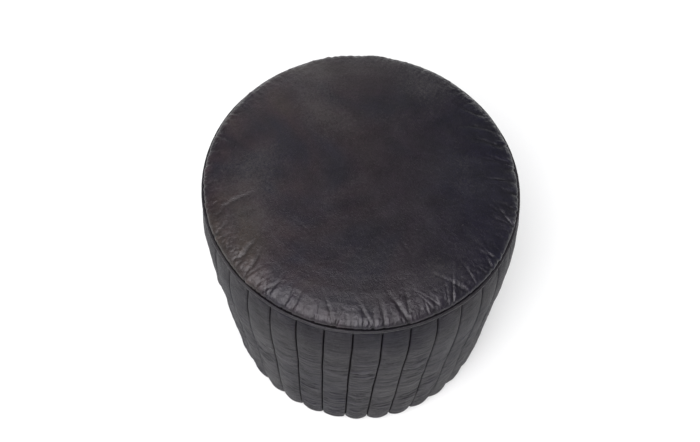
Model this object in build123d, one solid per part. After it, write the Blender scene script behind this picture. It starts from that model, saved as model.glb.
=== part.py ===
"""Moroccan leather pouf: a drum-shaped seat of narrow stitched leather strips around a foam core.

Frame: millimetres, +Z up, origin on the floor under the middle of the drum.
The cover is a crowned top panel, a piped rim seam, a ring of upright strips and a base in two halves
joined by a zip. Inside it are channel wadding, a calico inner bag, a foam core and soft pads.
"""

from build123d import *
import os
from math import asin, degrees, radians, tan

# ---- driving dimensions -------------------------------------------------------------------------
STRIP_COUNT = 36  # upright leather strips round the side
TOTAL_HEIGHT = 455.0
BELLY_RADIUS = 233.5  # widest point, a little below the rim
RIM_HEIGHT = 430.0  # centre of the piping round the top
RIM_RADIUS = 225.2  # centre of the piping round the top
HEEL_RADIUS = 219.0  # side's radius where it turns under to the base
LEATHER = 1.4
CLOTH = 0.6
SEAM_GAP = 0.1  # air between two pieces that are sewn face to face
SOFT_GAP = 0.3  # air between a filling and what encloses it

# ---- worked out from them -----------------------------------------------------------------------
MIDDLE_HEIGHT = TOTAL_HEIGHT / 2
STRIP_ANGLE = 360.0 / STRIP_COUNT
HALF_ANGLE = STRIP_ANGLE / 2
STRIP_AXIS = BELLY_RADIUS - 40.0  # distance of a strip's own upright axis, which sets how far it puffs
SEAM_RADIUS = BELLY_RADIUS - 5.0  # about where the upright seams lie

# rim seam: three turned-down edges side by side, from the middle outwards
CORD_RADIUS = 1.5
SLEEVE = 0.8
PIPING_RADIUS = CORD_RADIUS + SEAM_GAP + SLEEVE
RIM_FLANGE_DEPTH = 14.0
TOP_FLANGE_OUT = RIM_RADIUS - PIPING_RADIUS - 0.4
SLEEVE_FLANGE_IN = TOP_FLANGE_OUT + SEAM_GAP
SLEEVE_FLANGE_OUT = SLEEVE_FLANGE_IN + SLEEVE
STRIP_FLANGE_IN = SLEEVE_FLANGE_OUT + SEAM_GAP
STRIP_TOP = RIM_HEIGHT - PIPING_RADIUS - SEAM_GAP
RIM_FLANGE_BOTTOM = STRIP_TOP - RIM_FLANGE_DEPTH
RIM_THREAD_HEIGHT = RIM_FLANGE_BOTTOM + RIM_FLANGE_DEPTH / 2
SLEEVE_SIDES = 24  # the thin sleeve's round section is drawn with this many flats

# base seam: two turned-up edges side by side
STRIP_BOTTOM = 0.8
BASE_RADIUS = 197.0
BASE_FLANGE_TOP = 14.0
BASE_THREAD_HEIGHT = 9.0
STRIP_FOOT_IN = BASE_RADIUS + SEAM_GAP
STRIP_FOOT_OUT = STRIP_FOOT_IN + LEATHER

# side outline of a strip, from the heel up to the shoulder: radius and share of the height
SIDE_OUTLINE = (
    (HEEL_RADIUS, 0.05),
    (HEEL_RADIUS + 6.0, 0.3),
    (BELLY_RADIUS - 3.0, 0.6),
    (BELLY_RADIUS, 0.82),
    (BELLY_RADIUS - 2.0, 0.93),
    (BELLY_RADIUS - 5.0, 0.975),
)
BASE_TURN, TOP_TURN = 16.0, 4.0  # how far the side runs in at the base and at the top

# upright seams: the strips' side edges are turned in and sewn together
SEAM_FLANGE_IN = 205.0
SEAM_FLANGE_LOW, SEAM_FLANGE_HIGH = 20.0, RIM_HEIGHT - 23.0
SEAM_THREAD_MARGIN = 4.0  # from each end of the turned-in edges to the thread
THREAD_RADIUS = 0.4
THREAD_GROOVE = 0.5
SEAM_THREAD_RADIUS = 209.0  # distance of the upright threads from the middle

# inner bag, foam and pads
BAG_RADIUS = SEAM_FLANGE_IN - SOFT_GAP
BAG_LOW, BAG_HIGH = 16.0, RIM_HEIGHT - 19.0
WRAP_THICKNESS = 12.0
BASE_PAD_RADIUS = BASE_RADIUS - LEATHER - SOFT_GAP
PAD_CLEARANCE = 4.0  # from the zip's recess to the felt pad round it

# top crown: nearly flat in the middle, rolling down over a shoulder to the rim
CROWN_FLAT_RADIUS = 178.0
CROWN_FLAT_DROP = 6.0

# zip in a shallow recess across the base, along X
RECESS_HEIGHT = 8.0
RECESS_LENGTH, RECESS_WIDTH = 360.0, 56.0
RECESS_TAPER = 35.0  # slope of the recess's wall from upright, in degrees
SLOT_HALF_LENGTH, SLOT_HALF_WIDTH = 150.0, 10.0
TAPE_OUT, TAPE_IN = 21.0, 2.6
TAPE_THICKNESS = 0.6
TAPE_LOW = RECESS_HEIGHT + LEATHER + SEAM_GAP
TAPE_MIDDLE = TAPE_LOW + TAPE_THICKNESS / 2
TOOTH_PITCH, TOOTH_WIDTH, TOOTH_THICKNESS = 3.0, 1.6, 2.4
TOOTH_IN, TOOTH_OUT = 0.8, 3.8
CHAIN_HALF_LENGTH = 141.0
TOOTH_ROUNDING = 1.35  # radius that rounds the teeth's tips
TAPE_TAIL = 12.0  # how far the tapes run past the slot's ends
STOP_LENGTH, STOP_REACH, STOP_GAP = 4.0, 3.0, 1.0
SLIDER_START = 124.0  # slider's middle with the zip closed
SLIDER_LENGTH, SLIDER_WIDTH, SLIDER_CORNER = 13.0, 11.0, 3.0
PLATE = 1.1
PLATE_GAP = TOOTH_THICKNESS + 0.6  # space between the slider's two plates
SLIDER_LOW = TAPE_MIDDLE - PLATE_GAP / 2 - PLATE  # underside of the slider's lower plate
WEB_THICKNESS, WEB_LENGTH = 1.0, 5.0
LUG_WIDTH, LUG_HEIGHT, LUG_LENGTH = 3.0, 3.0, 7.0
PIVOT_HEIGHT = SLIDER_LOW - LUG_HEIGHT / 2
PIVOT_HOLE_RADIUS = 0.65
PIVOT_CLEARANCE = 0.05
PULL_LENGTH, PULL_WIDTH, PULL_THICKNESS, PULL_CORNER = 26.0, 7.0, 1.2, 1.0
PULL_ARM, PULL_FORK_CLEARANCE = 1.4, 1.5
GRIP_HOLE_RADIUS, GRIP_HOLE_EDGE = 1.6, 4.0
PULL_HEEL = 1.1  # how far the pull's arms reach past its pivot
PULL_FLOOR_GAP = 0.5  # height of the hanging pull's tip above the floor
STITCH_PITCH, STITCH_LENGTH, STITCH_RADIUS = 5.0, 3.6, 0.35
STITCH_LINE = SLOT_HALF_WIDTH + 4.0
STITCH_GAP = 0.02  # air between the stitches and the leather that they lie under


def pie(angle_half, low, high, reach=300.0):
    """A wedge of space round the -Y direction, between two upright planes through the Z axis."""
    half_width = reach * tan(radians(angle_half))
    outline = Polyline((0, 0), (half_width, -reach), (-half_width, -reach), (0, 0))
    return Pos(0, 0, low) * extrude(make_face(outline), high - low)


def disc(radius, low, high):
    """A plain round plate or block round the Z axis."""
    return Pos(0, 0, (low + high) / 2) * Cylinder(radius, high - low)


def ring(inner, outer, low, high):
    """A plain upright ring round the Z axis."""
    return disc(outer, low, high) - disc(inner, low, high)


def spun(face):
    """A solid of revolution from a face drawn in the XZ plane."""
    return revolve(face, Axis.Z)


def round_band(radius, height, tube):
    """A round ring, such as a cord or a thread, round the Z axis."""
    return Pos(0, 0, height) * Torus(radius, tube)


def strip_body(inset):
    """The puffed space under one strip's outer surface, centred on -Y, drawn in by an inset."""
    side = [(x - inset, 0, STRIP_BOTTOM + share * (STRIP_TOP - STRIP_BOTTOM)) for x, share in SIDE_OUTLINE]
    base, top = STRIP_BOTTOM + inset, STRIP_TOP - inset
    base_edge = (HEEL_RADIUS - BASE_TURN, 0, base)
    top_edge = (SIDE_OUTLINE[-1][0] - TOP_TURN, 0, top)
    up_at_heel, up_at_shoulder = (0.01, 0, 1), (-0.3, 0, 1)
    outline = [
        Line((STRIP_AXIS, 0, base), base_edge),
        Spline(base_edge, side[0], tangents=[(1, 0, 0), up_at_heel]),
        Spline(*side, tangents=[up_at_heel, up_at_shoulder]),
        Spline(side[-1], top_edge, tangents=[up_at_shoulder, (-1, 0, 0)]),
        Line(top_edge, (STRIP_AXIS, 0, top)),
        Line((STRIP_AXIS, 0, top), (STRIP_AXIS, 0, base)),
    ]
    own_axis = Axis((STRIP_AXIS, 0, 0), (0, 0, 1))
    return Rot(0, 0, -90) * revolve(make_face(Wire(outline)), own_axis)


def gap_angle(gap, radius):
    """The angle that a gap takes at a radius, in degrees."""
    return degrees(gap / radius)


def side_strip():
    """One upright leather strip with its four turned-in edges, centred on -Y."""
    outer, inner = strip_body(0), strip_body(LEATHER)
    edge = HALF_ANGLE - gap_angle(SEAM_GAP / 2, SEAM_RADIUS)
    wedge = pie(edge, -1, TOTAL_HEIGHT)
    skin = (outer - inner) - disc(STRIP_FLANGE_IN, MIDDLE_HEIGHT, TOTAL_HEIGHT)
    skin = skin - disc(STRIP_FOOT_IN, -1, MIDDLE_HEIGHT)
    overlap = LEATHER / 2
    rim_edge = ring(STRIP_FLANGE_IN, STRIP_FLANGE_IN + LEATHER, RIM_FLANGE_BOTTOM, STRIP_TOP - overlap)
    base_edge = ring(STRIP_FOOT_IN, STRIP_FOOT_OUT, STRIP_BOTTOM + overlap, BASE_FLANGE_TOP)
    hollow = pie(edge - gap_angle(LEATHER, SEAM_RADIUS), -1, TOTAL_HEIGHT)
    seam_band = ring(SEAM_FLANGE_IN, TOTAL_HEIGHT, SEAM_FLANGE_LOW, SEAM_FLANGE_HIGH)
    seam_edges = (strip_body(LEATHER / 2) & seam_band) - hollow
    strip = (skin + rim_edge + base_edge + seam_edges) & wedge
    for side in (-1, 1):
        strip = strip - Rot(0, 0, side * HALF_ANGLE) * upright_thread(THREAD_GROOVE)
    return strip - base_thread(THREAD_GROOVE)


def upright_thread(radius):
    """The sewing thread of one upright seam, on -Y, or the groove that it lies in."""
    length = SEAM_FLANGE_HIGH - SEAM_FLANGE_LOW - 2 * SEAM_THREAD_MARGIN
    middle = (SEAM_FLANGE_HIGH + SEAM_FLANGE_LOW) / 2
    return Pos(0, -SEAM_THREAD_RADIUS, middle) * Cylinder(radius, length)


def channel_filler():
    """The wadding behind one strip, between its turned-in edges."""
    clear = SEAM_GAP + LEATHER + SOFT_GAP
    wedge = pie(HALF_ANGLE - gap_angle(clear, SEAM_FLANGE_IN), SEAM_FLANGE_LOW, SEAM_FLANGE_HIGH)
    behind = ring(SEAM_FLANGE_IN + SOFT_GAP, TOTAL_HEIGHT, SEAM_FLANGE_LOW, SEAM_FLANGE_HIGH)
    return strip_body(LEATHER + SOFT_GAP) & wedge & behind


def crown_face(lowered, reach, floor):
    """Half of the crown's section, from the Z axis out to a radius and down to a level."""
    centre = (0, 0, TOTAL_HEIGHT - lowered)
    between = (CROWN_FLAT_RADIUS / 2, 0, TOTAL_HEIGHT - CROWN_FLAT_DROP / 4 - lowered)
    flat_edge = (CROWN_FLAT_RADIUS, 0, TOTAL_HEIGHT - CROWN_FLAT_DROP - lowered)
    rim = (reach, 0, RIM_HEIGHT - lowered)
    crown = ThreePointArc(centre, between, flat_edge)
    shoulder = TangentArc(flat_edge, rim, tangent=crown % 1)
    closing = Polyline(rim, (reach, 0, floor), (0, 0, floor), centre)
    return make_face(Wire([crown, shoulder, *closing.edges()]))


def top_panel():
    """The round leather top, crowned, with its edge turned down inside the rim seam."""
    reach = TOP_FLANGE_OUT
    outer = spun(crown_face(0, reach, RIM_FLANGE_BOTTOM))
    inner = spun(crown_face(LEATHER, reach - LEATHER, RIM_FLANGE_BOTTOM - 1))
    return (outer - inner) - rim_thread(THREAD_GROOVE)


def seat_pad():
    """The soft wadding that gives the top its crown."""
    reach = TOP_FLANGE_OUT - LEATHER - SOFT_GAP
    return spun(crown_face(LEATHER + SOFT_GAP, reach, BAG_HIGH + SOFT_GAP))


def rim_thread(radius):
    """The thread that sews the top panel to the piping, or its groove."""
    return round_band(TOP_FLANGE_OUT + SEAM_GAP / 2, RIM_THREAD_HEIGHT, radius)


def piping_sleeve():
    """The leather strip folded round the piping cord, with its edges in the rim seam."""
    neck_top = RIM_HEIGHT - PIPING_RADIUS * 0.6
    flange_middle = ((SLEEVE_FLANGE_IN + SLEEVE_FLANGE_OUT) / 2, (RIM_FLANGE_BOTTOM + neck_top) / 2)
    flange = Pos(*flange_middle) * Rectangle(SLEEVE, neck_top - RIM_FLANGE_BOTTOM)
    fold = Pos(RIM_RADIUS, RIM_HEIGHT) * RegularPolygon(PIPING_RADIUS, SLEEVE_SIDES)
    cord_space = Pos(RIM_RADIUS, RIM_HEIGHT) * RegularPolygon(CORD_RADIUS + SEAM_GAP, SLEEVE_SIDES)
    return spun(Plane.XZ * (fold + flange - cord_space)) - rim_thread(THREAD_GROOVE)


def recess(inset):
    """The solid shape of the base's raised middle, or the hollow below it."""
    slot = SlotOverall(RECESS_LENGTH + 2 * inset, RECESS_WIDTH + 2 * inset)
    return extrude(slot, RECESS_HEIGHT + inset, taper=RECESS_TAPER)


def base_half(side):
    """Half of the leather base, on the +Y side for 1 and the -Y side for -1."""
    sheet = disc(BASE_RADIUS, 0, LEATHER) + recess(LEATHER) - recess(0)
    sheet = sheet + ring(BASE_RADIUS - LEATHER, BASE_RADIUS, 0, BASE_FLANGE_TOP)
    slot = Box(2 * SLOT_HALF_LENGTH, 2 * SLOT_HALF_WIDTH, TOTAL_HEIGHT)
    sheet = sheet - slot - base_thread(THREAD_GROOVE)
    span = 2 * BELLY_RADIUS
    half_space = Pos(0, side * (span + SEAM_GAP) / 2, 0) * Box(span, span, TOTAL_HEIGHT)
    return sheet & half_space


def base_thread(radius):
    """The thread that sews the strips to the base, or its groove."""
    return round_band(BASE_RADIUS + SEAM_GAP / 2, BASE_THREAD_HEIGHT, radius)


def base_pad():
    """Felt pad between the leather base and the inner bag, cut away over the zip."""
    pad = disc(BASE_PAD_RADIUS, LEATHER + SOFT_GAP, BAG_LOW - SOFT_GAP)
    cut = SlotOverall(RECESS_LENGTH + 2 * PAD_CLEARANCE, RECESS_WIDTH + 2 * PAD_CLEARANCE)
    return pad - extrude(cut, BAG_LOW)


def bag_side():
    """Upright wall of the calico inner bag."""
    return ring(BAG_RADIUS - CLOTH, BAG_RADIUS, BAG_LOW + CLOTH + SEAM_GAP, BAG_HIGH - CLOTH - SEAM_GAP)


def bag_top():
    """Round top of the calico inner bag."""
    return disc(BAG_RADIUS, BAG_HIGH - CLOTH, BAG_HIGH)


def bag_bottom():
    """Round bottom of the calico inner bag."""
    return disc(BAG_RADIUS, BAG_LOW, BAG_LOW + CLOTH)


def foam_core():
    """The foam block that carries the weight."""
    reach = BAG_RADIUS - CLOTH - WRAP_THICKNESS - 2 * SOFT_GAP
    return disc(reach, BAG_LOW + CLOTH + SOFT_GAP, BAG_HIGH - CLOTH - SOFT_GAP)


def core_wrap():
    """Wadding sleeve round the foam."""
    reach = BAG_RADIUS - CLOTH - SOFT_GAP
    return ring(reach - WRAP_THICKNESS, reach, BAG_LOW + CLOTH + SOFT_GAP, BAG_HIGH - CLOTH - SOFT_GAP)


def zip_tape(side):
    """Woven tape of one side of the zip, sewn behind the base's slot edge."""
    width = TAPE_OUT - TAPE_IN
    length = 2 * (SLOT_HALF_LENGTH + TAPE_TAIL)
    return Pos(0, side * (TAPE_IN + width / 2), TAPE_MIDDLE) * Box(length, width, TAPE_THICKNESS)


def zip_teeth(side):
    """One row of teeth, each clasped over the edge of its tape."""
    reach = TOOTH_OUT - TOOTH_IN
    place = side * (TOOTH_IN + reach / 2)
    rounding = Rot(90, 0, 0) * Cylinder(TOOTH_ROUNDING, reach)
    tooth = Pos(0, place, TAPE_MIDDLE) * (Box(TOOTH_WIDTH, reach, TOOTH_THICKNESS) & rounding)
    tooth = tooth - zip_tape(side)
    first = -CHAIN_HALF_LENGTH + TOOTH_PITCH * (0.75 if side > 0 else 0.25)
    count = int(2 * CHAIN_HALF_LENGTH / TOOTH_PITCH)
    return [Pos(first + i * TOOTH_PITCH, 0, 0) * tooth for i in range(count)]


def zip_stops():
    """Two small clips at the closed end and one across both tapes at the open end."""
    middle = CHAIN_HALF_LENGTH + STOP_LENGTH / 2 + STOP_GAP
    clip = Box(STOP_LENGTH, STOP_REACH, TOOTH_THICKNESS)
    bridge = Box(STOP_LENGTH, 2 * TAPE_IN + STOP_REACH, TOOTH_THICKNESS)
    tapes = zip_tape(-1) + zip_tape(1)
    clips = [Pos(middle, side * TAPE_IN, TAPE_MIDDLE) * clip - tapes for side in (-1, 1)]
    return [*clips, Pos(-middle, 0, TAPE_MIDDLE) * bridge - tapes]


def zip_slider():
    """Two plates held apart by a thin web that runs between the rows of teeth, with a lug below."""
    plate = extrude(RectangleRounded(SLIDER_LENGTH, SLIDER_WIDTH, SLIDER_CORNER), PLATE)
    plates = Pos(0, 0, SLIDER_LOW) * plate + Pos(0, 0, SLIDER_LOW + PLATE + PLATE_GAP) * plate
    web = Pos(WEB_LENGTH / 2, 0, TAPE_MIDDLE) * Box(WEB_LENGTH, WEB_THICKNESS, PLATE_GAP + PLATE)
    lug_height = LUG_HEIGHT + PLATE / 2
    lug = Pos(0, 0, SLIDER_LOW - LUG_HEIGHT + lug_height / 2) * Box(LUG_LENGTH, LUG_WIDTH, lug_height)
    hole = Rot(90, 0, 0) * Cylinder(PIVOT_HOLE_RADIUS, SLIDER_WIDTH)
    return Pos(SLIDER_START, 0, 0) * (plates + web + lug - Pos(0, 0, PIVOT_HEIGHT) * hole)


def zip_pull():
    """A flat pull forked round the lug, with a pin through it, drooping along the zip."""
    reach = PULL_LENGTH - PULL_HEEL
    fork_width = PULL_WIDTH - 2 * PULL_ARM
    blade = extrude(RectangleRounded(PULL_LENGTH, PULL_WIDTH, PULL_CORNER), PULL_THICKNESS / 2, both=True)
    blade = Pos(PULL_HEEL - PULL_LENGTH / 2, 0, 0) * blade
    fork = Box(LUG_LENGTH + 2 * PULL_FORK_CLEARANCE, fork_width, 2 * PULL_THICKNESS)
    grip_hole = Pos(GRIP_HOLE_EDGE - reach, 0, 0) * Cylinder(GRIP_HOLE_RADIUS, 2 * PULL_THICKNESS)
    pin = Rot(90, 0, 0) * Cylinder(PIVOT_HOLE_RADIUS - PIVOT_CLEARANCE, fork_width + PULL_ARM / 2)
    droop = degrees(asin((PIVOT_HEIGHT - PULL_THICKNESS / 2 - PULL_FLOOR_GAP) / reach))
    return Pos(SLIDER_START, 0, PIVOT_HEIGHT) * Rot(0, -droop, 0) * (blade - fork - grip_hole + pin)


def zip_stitches():
    """Two rows of stitches that hold the tapes to the base, along the slot's long edges."""
    stitch = Rot(0, 90, 0) * Cylinder(STITCH_RADIUS, STITCH_LENGTH)
    count = int(2 * SLOT_HALF_LENGTH / STITCH_PITCH)
    level = RECESS_HEIGHT - STITCH_RADIUS - STITCH_GAP
    along = [-SLOT_HALF_LENGTH + (i + 0.5) * STITCH_PITCH for i in range(count)]
    return [Pos(x, side * STITCH_LINE, level) * stitch for side in (-1, 1) for x in along]


def around(shape, strips_on=0.0):
    """A shape repeated once for each strip, turned on by part of a strip's angle."""
    return [Rot(0, 0, (i + strips_on) * STRIP_ANGLE) * shape for i in range(STRIP_COUNT)]


def save(name, *shapes):
    """Writes one node, as one solid or as a group of separate solids."""
    solids = [solid for shape in shapes for solid in shape.solids()]
    export_step(Compound(children=solids) if len(solids) > 1 else solids[0], f"parts/{name}.step")


def main():
    """Writes every sub-part."""
    os.makedirs("parts", exist_ok=True)
    for i, strip in enumerate(around(side_strip())):
        save(f"side_strip_{i + 1:02d}", strip)
    save("channel_wadding", *around(channel_filler()))
    save("side_seam_threads", *around(upright_thread(THREAD_RADIUS), 0.5))
    save("top_panel", top_panel())
    save("piping_sleeve", piping_sleeve())
    save("piping_cord", round_band(RIM_RADIUS, RIM_HEIGHT, CORD_RADIUS))
    save("rim_seam_thread", rim_thread(THREAD_RADIUS))
    save("seat_pad", seat_pad())
    save("bag_top", bag_top())
    save("bag_side", bag_side())
    save("bag_bottom", bag_bottom())
    save("foam_core", foam_core())
    save("core_wrap", core_wrap())
    save("base_pad", base_pad())
    save("base_half_rear", base_half(1))
    save("base_half_front", base_half(-1))
    save("base_seam_thread", base_thread(THREAD_RADIUS))
    save("zip_tape_rear", zip_tape(1))
    save("zip_tape_front", zip_tape(-1))
    save("zip_teeth_rear", *zip_teeth(1))
    save("zip_teeth_front", *zip_teeth(-1))
    save("zip_stops", *zip_stops())
    save("zip_stitches", *zip_stitches())
    save("zip_slider", zip_slider())
    save("zip_pull", zip_pull())


main()
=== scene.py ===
"""Moroccan leather pouf: the looks of its leather, cloth and metal, on the CAD frame.

Metres, +Z up, front on -Y. Angles round the drum are counted from the front, towards +X.
"""

from math import cos, pi, radians, sin

import bpy
import numpy as np
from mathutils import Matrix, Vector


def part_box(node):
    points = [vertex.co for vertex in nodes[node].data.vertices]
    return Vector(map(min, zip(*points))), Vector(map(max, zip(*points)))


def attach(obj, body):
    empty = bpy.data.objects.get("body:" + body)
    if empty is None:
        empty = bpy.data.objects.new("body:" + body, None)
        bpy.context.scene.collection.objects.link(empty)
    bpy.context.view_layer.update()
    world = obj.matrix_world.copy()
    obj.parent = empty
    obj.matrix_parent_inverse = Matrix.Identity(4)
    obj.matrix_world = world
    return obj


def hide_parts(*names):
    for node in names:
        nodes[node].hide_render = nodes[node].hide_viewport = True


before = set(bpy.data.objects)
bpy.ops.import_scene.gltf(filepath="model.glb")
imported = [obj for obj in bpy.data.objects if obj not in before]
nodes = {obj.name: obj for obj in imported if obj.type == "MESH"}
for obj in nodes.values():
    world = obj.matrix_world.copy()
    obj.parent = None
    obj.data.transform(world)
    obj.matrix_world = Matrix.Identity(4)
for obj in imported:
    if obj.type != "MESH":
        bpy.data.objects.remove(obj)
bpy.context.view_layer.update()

# ---- sizes from the frame -----------------------------------------------------------------------
cord_low, cord_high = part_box("piping_cord")
CORD_RADIUS = (cord_high.z - cord_low.z) / 2
RIM_HEIGHT = (cord_high.z + cord_low.z) / 2
RIM_RADIUS = cord_high.x - CORD_RADIUS
PIPING_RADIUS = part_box("piping_sleeve")[1].z - RIM_HEIGHT
FLANGE_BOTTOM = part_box("piping_sleeve")[0].z
TOP_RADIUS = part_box("top_panel")[1].x
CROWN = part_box("top_panel")[1].z - RIM_HEIGHT
PAD_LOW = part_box("seat_pad")[0].z
strip_low, strip_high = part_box("side_strip_01")
BELLY_RADIUS = -strip_low.y
STRIP_LOW, STRIP_HIGH = strip_low.z, strip_high.z
BASE_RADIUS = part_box("base_half_front")[1].x
WADDING_LOW, WADDING_HIGH = (corner.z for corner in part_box("channel_wadding"))
BAG_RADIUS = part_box("bag_side")[1].x

# ---- what the hand-made cover adds to them ------------------------------------------------------
STRIPS = 36
STRIP_ANGLE = 2 * pi / STRIPS
LEATHER = 0.0014 * 0.9  # thickness of the shown leather, a little under the CAD's
TWIST_LOW, TWIST_HIGH = radians(-1.5), radians(2.5)  # turn of the seams at the floor and at the rim
RIM_LEAN = 0.040  # how much higher the rim's -X side stands, in metres for each metre across
SEAM_WANDER = 0.0016  # how far the upright seams stray sideways
SEAM_GROOVE = 0.0042  # depth of the groove along an upright seam
PUFF, PUFF_AT_BASE = 0.0016, 0.0040  # how far a strip's edges lie behind its middle, above and at the foot
HEEL_TURN, SHOULDER_TURN = 0.018, 0.004  # radii of the turns at a strip's foot and top
SEAM_EDGE_RADIUS = BAG_RADIUS + 0.0008  # how far in a strip's side edges run behind the seam
FLOOR_GAP = 0.0004  # keeps the floor's surface clear of the base's underside
FOLDS = 420  # small folds along the rim of the top panel
NOISE_CELLS = 256  # size of the tables of random values
CROWN_ROWS, RIM_POINTS = 170, 1440  # mesh rows of the top panel, and points round it and the piping
PAD_ROWS, PAD_POINTS = 36, 180


# ---- number helpers -----------------------------------------------------------------------------
def ease(t):
    """Smooth step from 0 to 1."""
    t = np.clip(t, 0.0, 1.0)
    return t * t * (3 - 2 * t)


def noise(u, v, seed, period=NOISE_CELLS):
    """Smooth random values from -1 to 1, one cell for each unit; u repeats after period cells."""
    table = np.random.default_rng(seed).uniform(-1, 1, (period, NOISE_CELLS))
    u, v = np.broadcast_arrays(np.asarray(u, float), np.asarray(v, float))
    iu, iv = np.floor(u).astype(int), np.floor(v).astype(int)
    fu, fv = ease(u - iu), ease(v - iv)
    this_u, next_u = iu % period, (iu + 1) % period
    this_v, next_v = iv % NOISE_CELLS, (iv + 1) % NOISE_CELLS
    low = table[this_u, this_v] * (1 - fu) + table[next_u, this_v] * fu
    high = table[this_u, next_v] * (1 - fu) + table[next_u, next_v] * fu
    return low * (1 - fv) + high * fv


def handmade(points):
    """Turns and leans points as the stuffed cover has settled; the floor end stays where it is."""
    x, y, z = points.T
    share = np.clip(z / RIM_HEIGHT, 0.0, 1.1)
    turn = TWIST_LOW + (TWIST_HIGH - TWIST_LOW) * share
    angle = np.arctan2(y, x) + turn
    around = angle / (2 * pi)
    radius = np.hypot(x, y)
    outer = ease(radius / RIM_RADIUS)
    radius = radius * (1 + 0.006 * share * outer * noise(around * 7, 0.5, 11, 7))
    lift = 0.0018 * noise(around * 11, 3.5, 12, 11) * share**3 * outer
    new_x, new_y = radius * np.cos(angle), radius * np.sin(angle)
    return np.stack([new_x, new_y, z - RIM_LEAN * new_x * share + lift], axis=1)


# ---- mesh helpers -------------------------------------------------------------------------------
def grid_faces(rows, columns, wrap_rows=False, wrap_columns=False):
    """Quads of a grid of points stored row by row."""
    r = np.arange(rows if wrap_rows else rows - 1)
    c = np.arange(columns if wrap_columns else columns - 1)
    r, c = (a.ravel() for a in np.meshgrid(r, c, indexing="ij"))
    r_next, c_next = (r + 1) % rows, (c + 1) % columns
    corners = (r * columns + c, r * columns + c_next, r_next * columns + c_next, r_next * columns + c)
    return np.stack(corners, axis=1)


def add_piece(name, points, faces, material, body, replaced, relief=None):
    """Makes a mesh object that rides on a body and stands for CAD nodes."""
    mesh = bpy.data.meshes.new(name)
    mesh.from_pydata(points.tolist(), [], [list(map(int, face)) for face in faces])
    if relief is not None:
        mesh.attributes.new("relief", "FLOAT", "POINT").data.foreach_set("value", relief.astype(np.float32))
    mesh.polygons.foreach_set("use_smooth", [True] * len(mesh.polygons))
    mesh.materials.append(material)
    mesh.update()
    piece = bpy.data.objects.new(name, mesh)
    bpy.context.scene.collection.objects.link(piece)
    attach(piece, body)
    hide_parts(*replaced)
    return piece


def thicken(piece):
    """Gives a leather surface its thickness, inwards."""
    solid = piece.modifiers.new("thickness", "SOLIDIFY")
    solid.thickness = LEATHER
    solid.offset = -1.0


def swept_ring(section_points, turns):
    """A closed section of (radius, height) rows, with one value for each angle, swept round Z."""
    angles = np.arange(turns) * 2 * pi / turns
    rows = []
    for radius, height in section_points(angles):
        rows.append(np.stack([radius * np.sin(angles), -radius * np.cos(angles), height + 0 * angles], 1))
    points = np.concatenate(rows)
    return points, grid_faces(len(rows), turns, wrap_rows=True, wrap_columns=True)[:, ::-1]


def warped_copy(node, material):
    """A hidden CAD piece's shape, settled together with the cover."""
    mesh = nodes[node].data
    points = np.array([vertex.co for vertex in mesh.vertices], float)
    faces = [list(polygon.vertices) for polygon in mesh.polygons]
    return add_piece(f"{node}_settled", handmade(points), faces, material, "pouf", [node])


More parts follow.
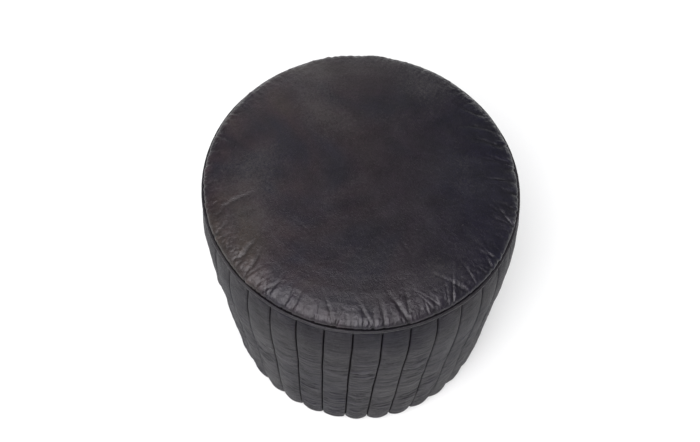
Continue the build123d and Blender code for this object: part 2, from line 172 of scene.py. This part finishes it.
# ---- material helpers ---------------------------------------------------------------------------
class Nodes:
    """A new material's node tree, with short ways to add and join nodes."""

    def __init__(self, name):
        self.material = bpy.data.materials.new(name)
        self.material.use_nodes = True
        self.tree = self.material.node_tree
        self.shader = self.tree.nodes["Principled BSDF"]
        self.place = self.add("ShaderNodeTexCoord").outputs["Object"]

    def add(self, kind, **settings):
        """A new node with the given settings."""
        node = self.tree.nodes.new(kind)
        for key, value in settings.items():
            setattr(node, key, value)
        return node

    def join(self, source, target):
        """Links an output to an input."""
        self.tree.links.new(source, target)

    def noise(self, scale, detail=4.0, roughness=0.55, stretch=(1, 1, 1), distortion=0.0):
        """Noise value, with scale in cells for each metre."""
        mapping = self.add("ShaderNodeMapping")
        mapping.inputs["Scale"].default_value = stretch
        texture = self.add("ShaderNodeTexNoise")
        texture.inputs["Scale"].default_value = scale
        texture.inputs["Detail"].default_value = detail
        texture.inputs["Roughness"].default_value = roughness
        texture.inputs["Distortion"].default_value = distortion
        self.join(self.place, mapping.inputs["Vector"])
        self.join(mapping.outputs["Vector"], texture.inputs["Vector"])
        return texture.outputs["Fac"]

    def cells(self, scale):
        """Distances in a cell pattern, for leather grain and foam."""
        texture = self.add("ShaderNodeTexVoronoi", feature="F1")
        texture.inputs["Scale"].default_value = scale
        self.join(self.place, texture.inputs["Vector"])
        return texture.outputs["Distance"]

    def ramp(self, source, *stops):
        """Colour ramp with (position, colour) stops; a number stands for a grey."""
        ramp = self.add("ShaderNodeValToRGB")
        elements = ramp.color_ramp.elements
        while len(elements) < len(stops):
            elements.new(0.5)
        for element, (position, colour) in zip(elements, stops):
            element.position = position
            shade = (colour,) * 3 if isinstance(colour, (int, float)) else colour
            element.color = (*shade, 1.0)
        self.join(source, ramp.inputs["Fac"])
        return ramp.outputs["Color"]

    def math(self, operation, first, second):
        """A sum or product of two values, each a number or an output."""
        node = self.add("ShaderNodeMath", operation=operation)
        for value, socket in ((first, node.inputs[0]), (second, node.inputs[1])):
            if isinstance(value, (int, float)):
                socket.default_value = value
            else:
                self.join(value, socket)
        return node.outputs[0]

    def mix(self, factor, first, second, blend_type="MIX"):
        """Two colours blended by a factor."""
        node = self.add("ShaderNodeMix", data_type="RGBA", blend_type=blend_type)
        for value, socket in ((factor, node.inputs[0]), (first, node.inputs[6]), (second, node.inputs[7])):
            if isinstance(value, (int, float)):
                socket.default_value = value
            elif isinstance(value, tuple):
                socket.default_value = (*value, 1.0)
            else:
                self.join(value, socket)
        return node.outputs[2]

    def bump(self, height, distance, strength, after=None):
        """A normal bent by a height, on top of an earlier normal if there is one."""
        node = self.add("ShaderNodeBump")
        node.inputs["Strength"].default_value = strength
        node.inputs["Distance"].default_value = distance
        self.join(height, node.inputs["Height"])
        if after is not None:
            self.join(after, node.inputs["Normal"])
        return node.outputs["Normal"]

    def set(self, **inputs):
        """Sets or joins the shader's inputs, named with underscores for spaces."""
        for key, value in inputs.items():
            socket = self.shader.inputs[key.replace("_", " ")]
            if isinstance(value, (int, float)):
                socket.default_value = value
            elif isinstance(value, tuple):
                socket.default_value = (*value, 1.0)
            else:
                self.join(value, socket)


def leather(name, dark, middle, warm, rough, wrinkle_stretch=(1, 1, 1), relief=True, shine=0.34,
            dye_and_painted_side_light=None, coarse=0.0012):
    """Dyed goatskin: mottled colour, fine pebble grain, scuffs, painted shade in folds and painted
    highlight on ridges, and an uneven satin polish.

    rough holds the roughness of polished and of dull places; the side-to-side factors hold the tints from
    the
    -X side to the +X side, a dye tint together with painted light: lighter at -X and painted shade at +X.
    """
    n = Nodes(name)
    patches = n.noise(6.0, 3.0, 0.6, distortion=0.5)
    colour = n.ramp(patches, (0.38, dark), (0.5, middle), (0.64, warm))
    # Side-to-side factors: the leather's own tint together with painted light, lighter on the -X side and
    # painted shade on the +X side.
    if dye_and_painted_side_light is not None:
        split = n.add("ShaderNodeSeparateXYZ")
        n.join(n.place, split.inputs[0])
        side_on = n.math("MULTIPLY", split.outputs["X"], 2.2)
        drift = n.math("ADD", side_on, n.math("MULTIPLY", patches, 0.7))
        tint_and_painted_side_light = n.ramp(drift, (0.05, dye_and_painted_side_light[0]), (0.40, dye_and_painted_side_light[1]), (0.72, dye_and_painted_side_light[2]))
        colour = n.mix(1.0, colour, tint_and_painted_side_light, "MULTIPLY")
    mottle = n.ramp(n.noise(36.0, 8.0, 0.75), (0.3, 0.55), (0.7, 1.5))
    colour = n.mix(0.9, colour, mottle, "MULTIPLY")
    specks = n.ramp(n.noise(420.0, 4.0, 0.75), (0.4, 0.7), (0.62, 1.35))
    colour = n.mix(0.9, colour, specks, "MULTIPLY")
    dusty = n.math("MULTIPLY", n.noise(9.0, 2.0, 0.5), n.noise(330.0, 6.0, 0.8, distortion=0.8))
    scuffs = n.ramp(dusty, (0.27, 0.0), (0.40, 0.65))
    colour = n.mix(scuffs, colour, tuple(0.6 * c + 0.035 for c in warm))
    polish = n.ramp(n.noise(26.0, 6.0, 0.7), (0.3, rough[0]), (0.7, rough[1]))
    if relief:
        height = n.add("ShaderNodeAttribute", attribute_name="relief").outputs["Fac"]
        # painted shade where the relief is low, painted highlight where it is high
        painted_fold_shade_and_highlight = n.ramp(height, (0.2, 0.30), (0.5, 1.0), (0.8, 2.1))
        colour = n.mix(0.9, colour, painted_fold_shade_and_highlight, "MULTIPLY")
    wrinkles = n.noise(150.0, 9.0, 0.7, wrinkle_stretch, 0.5)
    normal = n.bump(wrinkles, coarse, 0.85)
    normal = n.bump(n.cells(760.0), 0.00024, 0.6, normal)
    n.set(Base_Color=colour, Roughness=polish, Normal=normal)
    n.set(Specular_IOR_Level=shine)
    return n.material


def cloth(name, colour, threads):
    """Plain weave of crossing threads, with threads counted for each metre."""
    n = Nodes(name)
    waves = []
    for direction in ("X", "Y", "Z"):
        wave = n.add("ShaderNodeTexWave", bands_direction=direction)
        wave.inputs["Scale"].default_value = threads / 20.0
        wave.inputs["Distortion"].default_value = 0.6
        n.join(n.place, wave.inputs["Vector"])
        waves.append(wave.outputs["Fac"])
    weave = n.math("MULTIPLY", n.math("ADD", waves[0], waves[1]), n.math("ADD", waves[2], 0.4))
    slubs = n.ramp(n.noise(120.0, 5.0, 0.7), (0.3, 0.82), (0.7, 1.1))
    n.set(Base_Color=n.mix(1.0, colour, slubs, "MULTIPLY"), Roughness=0.95)
    n.set(Normal=n.bump(weave, 0.00025, 0.6), Sheen_Weight=0.25)
    return n.material


def fibres(name, colour, scale, depth):
    """Wadding or felt: a soft mass of fibres."""
    n = Nodes(name)
    tufts = n.noise(scale, 8.0, 0.75, distortion=1.2)
    shade = n.ramp(tufts, (0.3, 0.75), (0.7, 1.1))
    n.set(Base_Color=n.mix(1.0, colour, shade, "MULTIPLY"), Roughness=1.0)
    n.set(Normal=n.bump(tufts, depth, 0.8), Sheen_Weight=0.4)
    return n.material


def foam(name, colour):
    """Open-cell upholstery foam."""
    n = Nodes(name)
    pores = n.cells(700.0)
    shade = n.ramp(pores, (0.1, 0.7), (0.5, 1.05))
    n.set(Base_Color=n.mix(1.0, colour, shade, "MULTIPLY"), Roughness=0.95)
    n.set(Normal=n.bump(pores, 0.0006, 0.7))
    return n.material


def metal(name, colour):
    """Old brass, a little tarnished and rubbed."""
    n = Nodes(name)
    tarnish = n.noise(380.0, 6.0, 0.7)
    shade = n.ramp(tarnish, (0.35, tuple(0.45 * c for c in colour)), (0.6, colour))
    n.set(Base_Color=shade, Metallic=1.0, Roughness=n.ramp(tarnish, (0.3, 0.5), (0.7, 0.28)))
    n.set(Normal=n.bump(n.noise(1500.0, 3.0, 0.6, (1, 6, 6)), 0.00004, 0.5))
    return n.material


def thread(name, colour):
    """Waxed sewing thread."""
    n = Nodes(name)
    twist = n.noise(2500.0, 2.0, 0.5, (1, 1, 3))
    shade = n.ramp(twist, (0.35, 0.7), (0.65, 1.3))
    n.set(Base_Color=n.mix(1.0, colour, shade, "MULTIPLY"), Roughness=0.5)
    n.set(Normal=n.bump(twist, 0.0001, 0.8))
    return n.material


def pale_floor():
    """Matt off-white paper."""
    n = Nodes("floor_paper")
    shade = n.ramp(n.noise(3.0, 2.0), (0.3, (0.935, 0.975, 0.935)), (0.7, (0.945, 0.985, 0.945)))
    n.set(Base_Color=shade, Roughness=0.9, Specular_IOR_Level=0.05)
    return n.material


# ---- materials ----------------------------------------------------------------------------------
TOP_LEATHER = leather(
    "top_leather", (0.0045, 0.0040, 0.0075), (0.0105, 0.0070, 0.0090), (0.0170, 0.0135, 0.0110),
    rough=(0.30, 0.46), shine=0.52, coarse=0.0008,
    # side-to-side factors: dye tint and painted light, the -X side lighter and the +X side painted darker
    dye_and_painted_side_light=((1.65, 1.55, 1.5), (0.95, 0.88, 1.0), (0.32, 0.38, 0.95)),
)
SIDE_LEATHER = leather(
    "strip_leather", (0.0100, 0.0094, 0.0140), (0.0142, 0.0131, 0.0172), (0.0190, 0.0177, 0.0202),
    rough=(0.42, 0.56), wrinkle_stretch=(0.4, 0.4, 2.2), shine=0.08,
)
PIPING_LEATHER = leather(
    "piping_leather", (0.0120, 0.0115, 0.0140), (0.0165, 0.0155, 0.0180), (0.0220, 0.0205, 0.0220),
    rough=(0.32, 0.44), relief=False, shine=0.30,
)
BASE_LEATHER = leather(
    "base_leather", (0.0085, 0.0082, 0.0095), (0.0120, 0.0115, 0.0125), (0.0165, 0.0155, 0.0160),
    rough=(0.5, 0.7), relief=False,
)
CALICO = cloth("calico", (0.72, 0.66, 0.52), 1400.0)
TAPE = cloth("zip_tape", (0.012, 0.012, 0.013), 1800.0)
CORD = cloth("cotton_cord", (0.70, 0.66, 0.55), 1500.0)
WADDING = fibres("wadding", (0.80, 0.79, 0.75), 90.0, 0.002)
FELT = fibres("felt", (0.22, 0.21, 0.20), 300.0, 0.0006)
FOAM = foam("foam", (0.80, 0.72, 0.42))
BRASS = metal("zip_brass", (0.60, 0.46, 0.24))
THREAD = thread("thread", (0.015, 0.015, 0.016))

CAD_MATERIALS = {
    "bag_top": CALICO, "bag_side": CALICO, "bag_bottom": CALICO,
    "foam_core": FOAM, "core_wrap": WADDING, "base_pad": FELT,
    "base_half_rear": BASE_LEATHER, "base_half_front": BASE_LEATHER,
    "base_seam_thread": THREAD, "zip_stitches": THREAD,
    "zip_tape_rear": TAPE, "zip_tape_front": TAPE,
    "zip_teeth_rear": BRASS, "zip_teeth_front": BRASS, "zip_stops": BRASS,
    "zip_slider": BRASS, "zip_pull": BRASS,
}


# ---- the side -----------------------------------------------------------------------------------
def side_profile(rows):
    """Radius, height and outward direction along a strip's middle, from its foot up to the rim."""
    shares = np.array([0.05, 0.3, 0.6, 0.82, 0.93, 0.975])
    radii = BELLY_RADIUS + np.array([-0.0145, -0.0085, -0.003, 0.0, -0.002, -0.005])
    curve = np.polyfit(shares, radii, 4)
    turn = np.linspace(0, pi / 2, 24)
    span = STRIP_HIGH - STRIP_LOW
    heel, shoulder = (np.polyval(curve, s) for s in (HEEL_TURN / span, 1 - SHOULDER_TURN / span))
    upright = np.linspace(HEEL_TURN / span, 1 - SHOULDER_TURN / span, 120)[1:-1]
    radius = np.concatenate([
        [BASE_RADIUS + 0.0003], heel - HEEL_TURN * (1 - np.sin(turn)), np.polyval(curve, upright),
        shoulder - SHOULDER_TURN * (1 - np.cos(turn)), [TOP_RADIUS + 0.002],
    ])
    height = np.concatenate([
        [STRIP_LOW], STRIP_LOW + HEEL_TURN * (1 - np.cos(turn)), STRIP_LOW + span * upright,
        STRIP_HIGH - SHOULDER_TURN * (1 - np.sin(turn)), [STRIP_HIGH],
    ])
    length = np.concatenate([[0], np.cumsum(np.hypot(np.diff(radius), np.diff(height)))])
    even = np.linspace(0, length[-1], rows)
    radius, height = np.interp(even, length, radius), np.interp(even, length, height)
    along_r, along_z = np.gradient(radius), np.gradient(height)
    size = np.hypot(along_r, along_z)
    return radius, height, along_z / size, -along_r / size


def seam_shift(seam, height):
    """How far one upright seam strays sideways at each height, in radians round the drum."""
    share = height / RIM_HEIGHT
    stray = noise(share * 3.2, 0.5 + seam * 3.0, 21) + 0.35 * noise(share * 9.0, 1.5 + seam * 3.0, 22)
    kink_height = 0.70 + 0.05 * np.sin(seam * 2.1)
    kink = 1.0 - np.abs(share - kink_height) / 0.22
    kink_size = 0.9 * np.sin(seam * 1.7 + 0.6)
    held = ease(share / 0.08) * ease((1.02 - share) / 0.12)
    return SEAM_WANDER * held * (stray + kink_size * np.clip(kink, 0, 1)) / BELLY_RADIUS


def strip_wrinkles(index, across, height):
    """Fine level creases in one strip, as a height of about -1 to 1."""
    share = height / RIM_HEIGHT
    sag = across**2 * (0.0026 * noise(0.5, height / 0.05, 100 + index) - 0.0028)
    level = height + sag + 0.0016 * noise(across * 1.5 + 9, height / 0.02, 300 + index)
    wrinkles = np.zeros_like(height + across)
    for size, weight, wide in ((0.0130, -0.60, 0.8), (0.0070, -0.34, 1.2), (0.0036, 0.20, 1.8)):
        value = noise(across * wide + 20, level / size, 500 + index * 7 + int(size * 1e5))
        wrinkles += weight * (1 - 2.6 * np.abs(value) ** 0.7)
    patch = 0.75 + 0.7 * noise(across * 0.7 + 5, height / 0.055, 900 + index)
    low_down = 0.25 + 0.75 * ease((0.86 - share) / 0.24)
    return wrinkles * np.clip(patch, 0.12, 1.3) * low_down


def strip_surface(index, across, rows, inset=0.0, detail=True):
    """Points of one strip's outer surface, and its relief for the painted shade, for positions across from
    -1 to 1.
    """
    radius, height, out_r, out_z = (a[:, None] for a in side_profile(rows))
    u = across[None, :]
    share = (height - STRIP_LOW) / (STRIP_HIGH - STRIP_LOW)
    puff = PUFF + (PUFF_AT_BASE - PUFF) * ease((0.35 - share) / 0.35)
    puff = puff * (1 + 0.35 * noise(0.5, height / 0.09, 40 + index))
    fade = 0.25 + 0.75 * ease((1.0 - share) / 0.03)
    drop = puff * u**2 + SEAM_GROOVE * fade * np.abs(u) ** 30
    swell = 0.0007 * noise(u * 0.8 + 3, height / 0.045, 60 + index)
    held = ease(share / 0.06)
    out = -drop * ease((share + 0.02) / 0.03) + swell * held * (1 - u**4) - inset
    wrinkles = strip_wrinkles(index, u, height) * (1 - 0.6 * u**8) * held
    puckers = noise(u * 5 + 40, height / 0.012, 80 + index) * np.exp(-((1 - share) / 0.03) ** 2)
    if detail:
        out = out + 0.0010 * wrinkles + 0.0008 * puckers
    left, right = (seam_shift(seam % STRIPS, height) for seam in (index, index + 1))
    angle = STRIP_ANGLE * (index + u / 2) + left * (1 - u) / 2 + right * (1 + u) / 2
    new_r, new_z = radius + out * out_r, height + out * out_z
    points = np.stack([new_r * np.sin(angle), -new_r * np.cos(angle), new_z + 0 * angle], axis=2)
    # relief sets painted shade: wrinkle and pucker valleys darker, crests lighter, and painted shade along
    # the seam grooves
    relief = 0.5 + 0.20 * wrinkles + 0.12 * puckers - 0.5 * np.abs(u) ** 44
    return points, relief + 0 * angle


def side_strip(index):
    """One leather strip, with its side edges turned in behind the seams."""
    node = f"side_strip_{index + 1:02d}"
    rows, columns = 240, 27
    spread = np.linspace(-1, 1, columns)
    across = 0.997 * (0.55 * np.sin(spread * pi / 2) + 0.45 * spread)
    surface, relief = strip_surface(index, across, rows)
    inward = []
    for edge in (0, -1):
        turned = surface[:, edge].copy()
        size = np.linalg.norm(turned[:, :2], axis=1, keepdims=True)
        sewn = (turned[:, 2:] > WADDING_LOW) & (turned[:, 2:] < WADDING_HIGH)
        turned[:, :2] *= np.where(sewn, np.minimum(SEAM_EDGE_RADIUS, size - 0.001), size - 0.001) / size
        inward.append(turned)
    points = np.concatenate([inward[0][:, None], surface, inward[1][:, None]], axis=1)
    # the turned-in edges get the darkest painted shade
    relief = np.concatenate([relief[:, :1] * 0, relief, relief[:, :1] * 0], axis=1)
    faces = grid_faces(rows, columns + 2)
    points = handmade(points.reshape(-1, 3))
    name = f"strip_{index + 1:02d}_leather"
    piece = add_piece(name, points, faces, SIDE_LEATHER, "pouf", [node], relief.ravel())
    thicken(piece)


def channel_wadding():
    """Wadding behind the strips, one pad for each."""
    rows, columns, inset = 60, 9, 0.0045
    parts, faces, start = [], [], 0
    for index in range(STRIPS):
        front, _ = strip_surface(index, np.linspace(-0.84, 0.84, columns), rows, inset, detail=False)
        inside = (front[:, 0, 2] > WADDING_LOW) & (front[:, 0, 2] < WADDING_HIGH)
        front = front[inside]
        back = front.copy()
        size = np.linalg.norm(front[..., :2], axis=2, keepdims=True)
        back[..., :2] *= (BAG_RADIUS + 0.0025) / size
        loop = np.concatenate([front, back[:, ::-1]], axis=1)
        count, around = loop.shape[:2]
        parts.append(loop.reshape(-1, 3))
        faces += (grid_faces(count, around, wrap_columns=True) + start).tolist()
        faces.append([start + i for i in range(around)][::-1])
        faces.append([start + (count - 1) * around + i for i in range(around)])
        start += count * around
    points = handmade(np.concatenate(parts))
    piece = add_piece("channel_wadding_pads", points, faces, WADDING, "pouf", ["channel_wadding"])


# ---- the top ------------------------------------------------------------------------------------
def crown_profile(rows):
    """Radius, height and outward direction of the crown, from the rim seam in to the middle.

    The filling pushes the leather out over the piping before it rolls in over the shoulder.
    """
    bulge = [0.0, -0.1, -0.5, -0.9, -1.2, -1.1, -0.1, 2.3]
    shoulder = [7.0, 15.0, 27.0, 45.0, 70.0, 110.0, 160.0]
    inward = np.array(bulge + shoulder)
    rise = np.array([0.0, 1.2, 2.5, 3.6, 5.0, 6.8, 8.9, 11.0, 13.6, 16.1, 18.7, 21.2, 23.1, 24.4, 24.9])
    inward = np.append(inward / 1000, TOP_RADIUS * 0.996)
    rise = np.append(rise / rise[-1], 1.0) * CROWN
    length = np.concatenate([[0], np.cumsum(np.hypot(np.diff(inward), np.diff(rise)))])
    fine = np.linspace(0, length[-1], 1200)
    inward, rise = np.interp(fine, length, inward), np.interp(fine, length, rise)
    kernel = np.hanning(31) / np.hanning(31).sum()
    inward[15:-15] = np.convolve(inward, kernel, "valid")
    rise[15:-15] = np.convolve(rise, kernel, "valid")
    even = np.linspace(0, 1, rows)
    place = length[-1] * (0.34 * even + 0.66 * even**2.3)
    inward, rise = np.interp(place, fine, inward), np.interp(place, fine, rise)
    along_r, along_z = np.gradient(-inward, place), np.gradient(rise, place)
    size = np.hypot(along_r, along_z)
    return TOP_RADIUS - inward, rise, along_z / size, -along_r / size, place


def gathers(from_rim, arc):
    """Folds that run in from the rim seam: displacement in metres, at places round the rim."""
    girth = 2 * pi * TOP_RADIUS
    random = np.random.default_rng(7)
    total = np.zeros_like(from_rim + arc)
    for number in range(FOLDS):
        place = random.uniform(0, girth)
        lively = 0.68 + 0.32 * cos(place / TOP_RADIUS - radians(30))
        fine = number % 3 > 0
        long = random.uniform(0.012, 0.034) if fine else random.uniform(0.030, 0.062)
        long *= 0.5 + 0.7 * lively
        wide = random.uniform(0.0006, 0.0014) if fine else random.uniform(0.0014, 0.0030)
        deep = wide * random.uniform(0.26, 0.52) * (0.3 + 0.9 * lively)
        lean = random.uniform(-0.4, 0.4)
        bend = random.uniform(-9.0, 9.0)
        begin = random.uniform(0.0, 0.010) if fine else 0.0
        aside = lean * from_rim + bend * from_rim**2
        offset = (arc - place - aside + girth / 2) % girth - girth / 2
        width = wide * (0.7 + 0.8 * from_rim / long)
        reach = np.clip(1 - from_rim / long, 0, 1) ** 1.2 * ease((from_rim - begin) / 0.003)
        ridge = 0.45 * np.exp(-(((offset - 2.0 * width) / (1.5 * width)) ** 2))
        total += deep * reach * (ridge - np.exp(-((offset / width) ** 2)))
    return total


def creases(x, y):
    """A few long soft creases across the panel.

    Each has its middle in shares of the radius, its heading in degrees, its length, width and depth in
    metres, and its bend.
    """
    total = np.zeros_like(x)
    for middle_x, middle_y, heading, long, wide, deep, bend in (
        (-0.80, -0.16, 30, 0.034, 0.0036, 0.0008, 5.0),
        (-0.72, -0.24, 22, 0.024, 0.0040, 0.0003, -2.5),
        (-0.72, -0.50, 52, 0.026, 0.0036, 0.0009, 1.5),
        (-0.66, -0.56, 66, 0.022, 0.0022, 0.0007, -2.0),
        (0.76, 0.50, 158, 0.030, 0.0030, 0.0011, 4.0),
        (0.80, 0.38, 172, 0.034, 0.0032, 0.0012, -4.0),
        (0.84, 0.26, 164, 0.030, 0.0034, 0.0012, -2.0),
        (0.86, 0.12, 174, 0.028, 0.0030, 0.0010, 3.0),
        (0.88, -0.02, 178, 0.024, 0.0020, 0.0010, -3.0),
        (0.62, -0.42, 124, 0.024, 0.0056, 0.0002, 4.0),
        (0.56, -0.58, 108, 0.020, 0.0040, 0.0003, -4.0),
        (0.24, -0.50, 118, 0.018, 0.0026, 0.0003, 4.0),
        (-0.40, -0.34, 140, 0.030, 0.0018, 0.0003, -3.0),
    ):
        turn = radians(heading)
        dx, dy = x - middle_x * TOP_RADIUS, y - middle_y * TOP_RADIUS
        along = dx * cos(turn) + dy * sin(turn)
        aside = dy * cos(turn) - dx * sin(turn) + bend * along**2
        ends = np.exp(-((along / long) ** 2) * 2)
        ridge = 0.35 * np.exp(-(((aside - 2 * wide) / (1.4 * wide)) ** 2))
        total += deep * ends * (ridge - np.exp(-((aside / wide) ** 2)))
    return total


def crown_surface(rows, turns, inset=0.0, detail=True):
    """Points of the top panel from the rim inwards, and their relief, which sets painted shade in folds and
    painted highlight on ridges.
    """
    angles = np.arange(turns)[None, :] * 2 * pi / turns
    radius, height, out_r, out_z, from_rim = (column[:, None] for column in crown_profile(rows))
    x, y = radius * np.sin(angles), -radius * np.cos(angles)
    folds = gathers(from_rim, angles * TOP_RADIUS)
    share = angles / (2 * pi)
    pillows = noise(share * 46, from_rim / 0.05, 31, 46) * np.exp(-from_rim / 0.028)
    fine = noise(share * 250, from_rim / 0.012, 32, 250) * np.exp(-from_rim / 0.020)
    crumple = noise(x / 0.007 + 90, y / 0.007 + 90, 36)
    crumple = crumple + 0.6 * noise(x / 0.0032 + 90, y / 0.0032 + 90, 37)
    crumple = crumple * np.exp(-((from_rim - 0.012) / 0.030) ** 2)
    broad = noise(x / 0.10 + 50, y / 0.10 + 50, 34) + 0.4 * noise(x / 0.04 + 50, y / 0.04 + 50, 35)
    dents = creases(x, y)
    start = ease(from_rim / 0.009)
    out = 0.0 * x - inset
    if detail:
        out = out + start * (folds + 0.0011 * pillows + 0.0004 * fine + 0.00034 * crumple + dents)
        out = out + 0.0011 * broad * ease(from_rim / 0.05)
    points = np.stack([x + out * out_r * np.sin(angles), y - out * out_r * np.cos(angles),
                       RIM_HEIGHT + height + out * out_z], axis=2)
    # relief sets painted shade in fold and crease valleys and painted highlight on their ridges
    relief = 0.5 + 190 * (folds + dents) + 0.10 * fine + 0.06 * crumple + 0.05 * pillows
    return points, np.clip(relief, 0, 1)


def capped(points, relief):
    """Joins the innermost ring to one middle point."""
    rows, turns = points.shape[:2]
    middle = points[-1].mean(axis=0)
    flat = np.concatenate([points.reshape(-1, 3), middle[None]])
    faces = grid_faces(rows, turns, wrap_columns=True).tolist()
    last = (rows - 1) * turns
    faces += [[last + i, last + (i + 1) % turns, rows * turns] for i in range(turns)]
    return flat, faces, np.concatenate([relief.ravel(), [0.5]])


def top_panel():
    """The crowned top, gathered along the rim and turned down inside the seam."""
    surface, relief = crown_surface(CROWN_ROWS, RIM_POINTS)
    down = surface[0].copy()
    down[:, 2] = FLANGE_BOTTOM
    surface = np.concatenate([down[None], surface])
    # the turned-down flange gets the darkest painted shade
    relief = np.concatenate([relief[:1] * 0, relief])
    points, faces, relief = capped(surface, relief)
    points = handmade(points)
    piece = add_piece("top_panel_leather", points, faces, TOP_LEATHER, "pouf", ["top_panel"], relief)
    thicken(piece)


def seat_pad():
    """Wadding under the top panel."""
    surface, _ = crown_surface(PAD_ROWS, PAD_POINTS, inset=0.006, detail=False)
    keep = surface[:, 0, 2] > PAD_LOW
    surface = surface[keep]
    edge = surface[0].copy()
    edge[:, 2] = PAD_LOW
    middle = edge[None] * np.array([0.01, 0.01, 1.0])
    closed = np.concatenate([middle, edge[None], surface])
    points, faces, _ = capped(closed, closed[..., 0])
    faces.append(list(range(PAD_POINTS))[::-1])
    points = handmade(points)
    points[: 2 * PAD_POINTS, 2] = PAD_LOW
    piece = add_piece("seat_pad_wadding", points, faces, WADDING, "pouf", ["seat_pad"])


# ---- the piped rim ------------------------------------------------------------------------------
def rim_line(angles):
    """Radius and height of the piping's middle at each angle."""
    share = angles / (2 * pi)
    radius = RIM_RADIUS + 0.0005 * noise(share * 60, 0.5, 51, 60)
    height = RIM_HEIGHT + 0.0004 * noise(share * 44, 1.5, 52, 44)
    return radius, height


def piping_sleeve():
    """Leather folded round the cord, its edges running down into the rim seam."""
    def section(angles):
        share = angles / (2 * pi)
        radius, height = rim_line(angles)
        rows = []
        for turn in np.linspace(radians(-80), radians(220), 19):
            pinch = 1 + 0.05 * noise(share * 300, 2 + 2 * sin(turn), 53, 300)
            reach = PIPING_RADIUS * pinch
            rows.append((radius + reach * cos(turn), height + reach * sin(turn)))
        inner = TOP_RADIUS + 0.0002
        for flange_radius in (inner, inner + 0.0012):
            rows.append((0 * radius + flange_radius, 0 * height + FLANGE_BOTTOM))
        return rows
    points, faces = swept_ring(section, RIM_POINTS)
    points = handmade(points)
    piece = add_piece("piping_leather_sleeve", points, faces, PIPING_LEATHER, "pouf", ["piping_sleeve"])


def piping_cord():
    """Cotton cord inside the piping."""
    def section(angles):
        radius, height = rim_line(angles)
        turns = np.arange(12) * 2 * pi / 12
        return [(radius + CORD_RADIUS * cos(t), height + CORD_RADIUS * sin(t)) for t in turns]
    points, faces = swept_ring(section, 360)
    piece = add_piece("piping_cord_cotton", handmade(points), faces, CORD, "pouf", ["piping_cord"])


# ---- studio -------------------------------------------------------------------------------------
def studio():
    """Pale floor, soft light and an even pale surround."""
    bpy.ops.mesh.primitive_plane_add(size=30.0, location=(0.0, 0.0, -FLOOR_GAP))
    floor = bpy.context.object
    floor.name = "floor"
    floor.data.materials.append(pale_floor())
    sun = bpy.data.lights.new("overhead_light", "SUN")
    sun.energy = 3.8
    sun.angle = radians(55)
    sun.color = (1.0, 0.955, 1.0)
    lamp = bpy.data.objects.new("overhead_light", sun)
    lamp.rotation_euler = (radians(28), radians(-10), 0)
    bpy.context.scene.collection.objects.link(lamp)
    panel = bpy.data.lights.new("back_light", "AREA")
    panel.size = 2.0
    panel.energy = 10.0
    lamp = bpy.data.objects.new("back_light", panel)
    lamp.location = (-0.4, 2.6, RIM_HEIGHT + 1.3)
    lamp.rotation_euler = (radians(-63), 0, 0)
    bpy.context.scene.collection.objects.link(lamp)
    world = bpy.data.worlds.new("studio")
    world.use_nodes = True
    surround = world.node_tree.nodes["Background"]
    surround.inputs["Color"].default_value = (0.97, 0.94, 1.0, 1.0)
    surround.inputs["Strength"].default_value = 0.22
    bpy.context.scene.world = world
    bpy.context.scene.view_settings.view_transform = "Standard"


def camera():
    """High three-quarter view of the front, a little down from the rim's middle."""
    elevation, distance = radians(60.0), 6.28 * (RIM_RADIUS + PIPING_RADIUS)
    aim_below, aim_left = radians(2.1), radians(0.6)
    lens = bpy.data.cameras.new("camera")
    lens.lens = 51.4
    lens.sensor_width = 36.0
    eye = bpy.data.objects.new("camera", lens)
    eye.location = (-0.0095, -distance * cos(elevation), RIM_HEIGHT + distance * sin(elevation))
    eye.rotation_euler = (pi / 2 - elevation - aim_below, 0.0, aim_left)
    bpy.context.scene.collection.objects.link(eye)
    bpy.context.scene.camera = eye


# ---- build --------------------------------------------------------------------------------------
for node_name, node_material in CAD_MATERIALS.items():
    cad_mesh = nodes[node_name].data
    cad_mesh.materials.clear()
    cad_mesh.materials.append(node_material)
for strip_index in range(STRIPS):
    side_strip(strip_index)
channel_wadding()
top_panel()
seat_pad()
piping_sleeve()
piping_cord()
warped_copy("rim_seam_thread", THREAD)
warped_copy("side_seam_threads", THREAD)
studio()
camera()

bpy.context.view_layer.update()
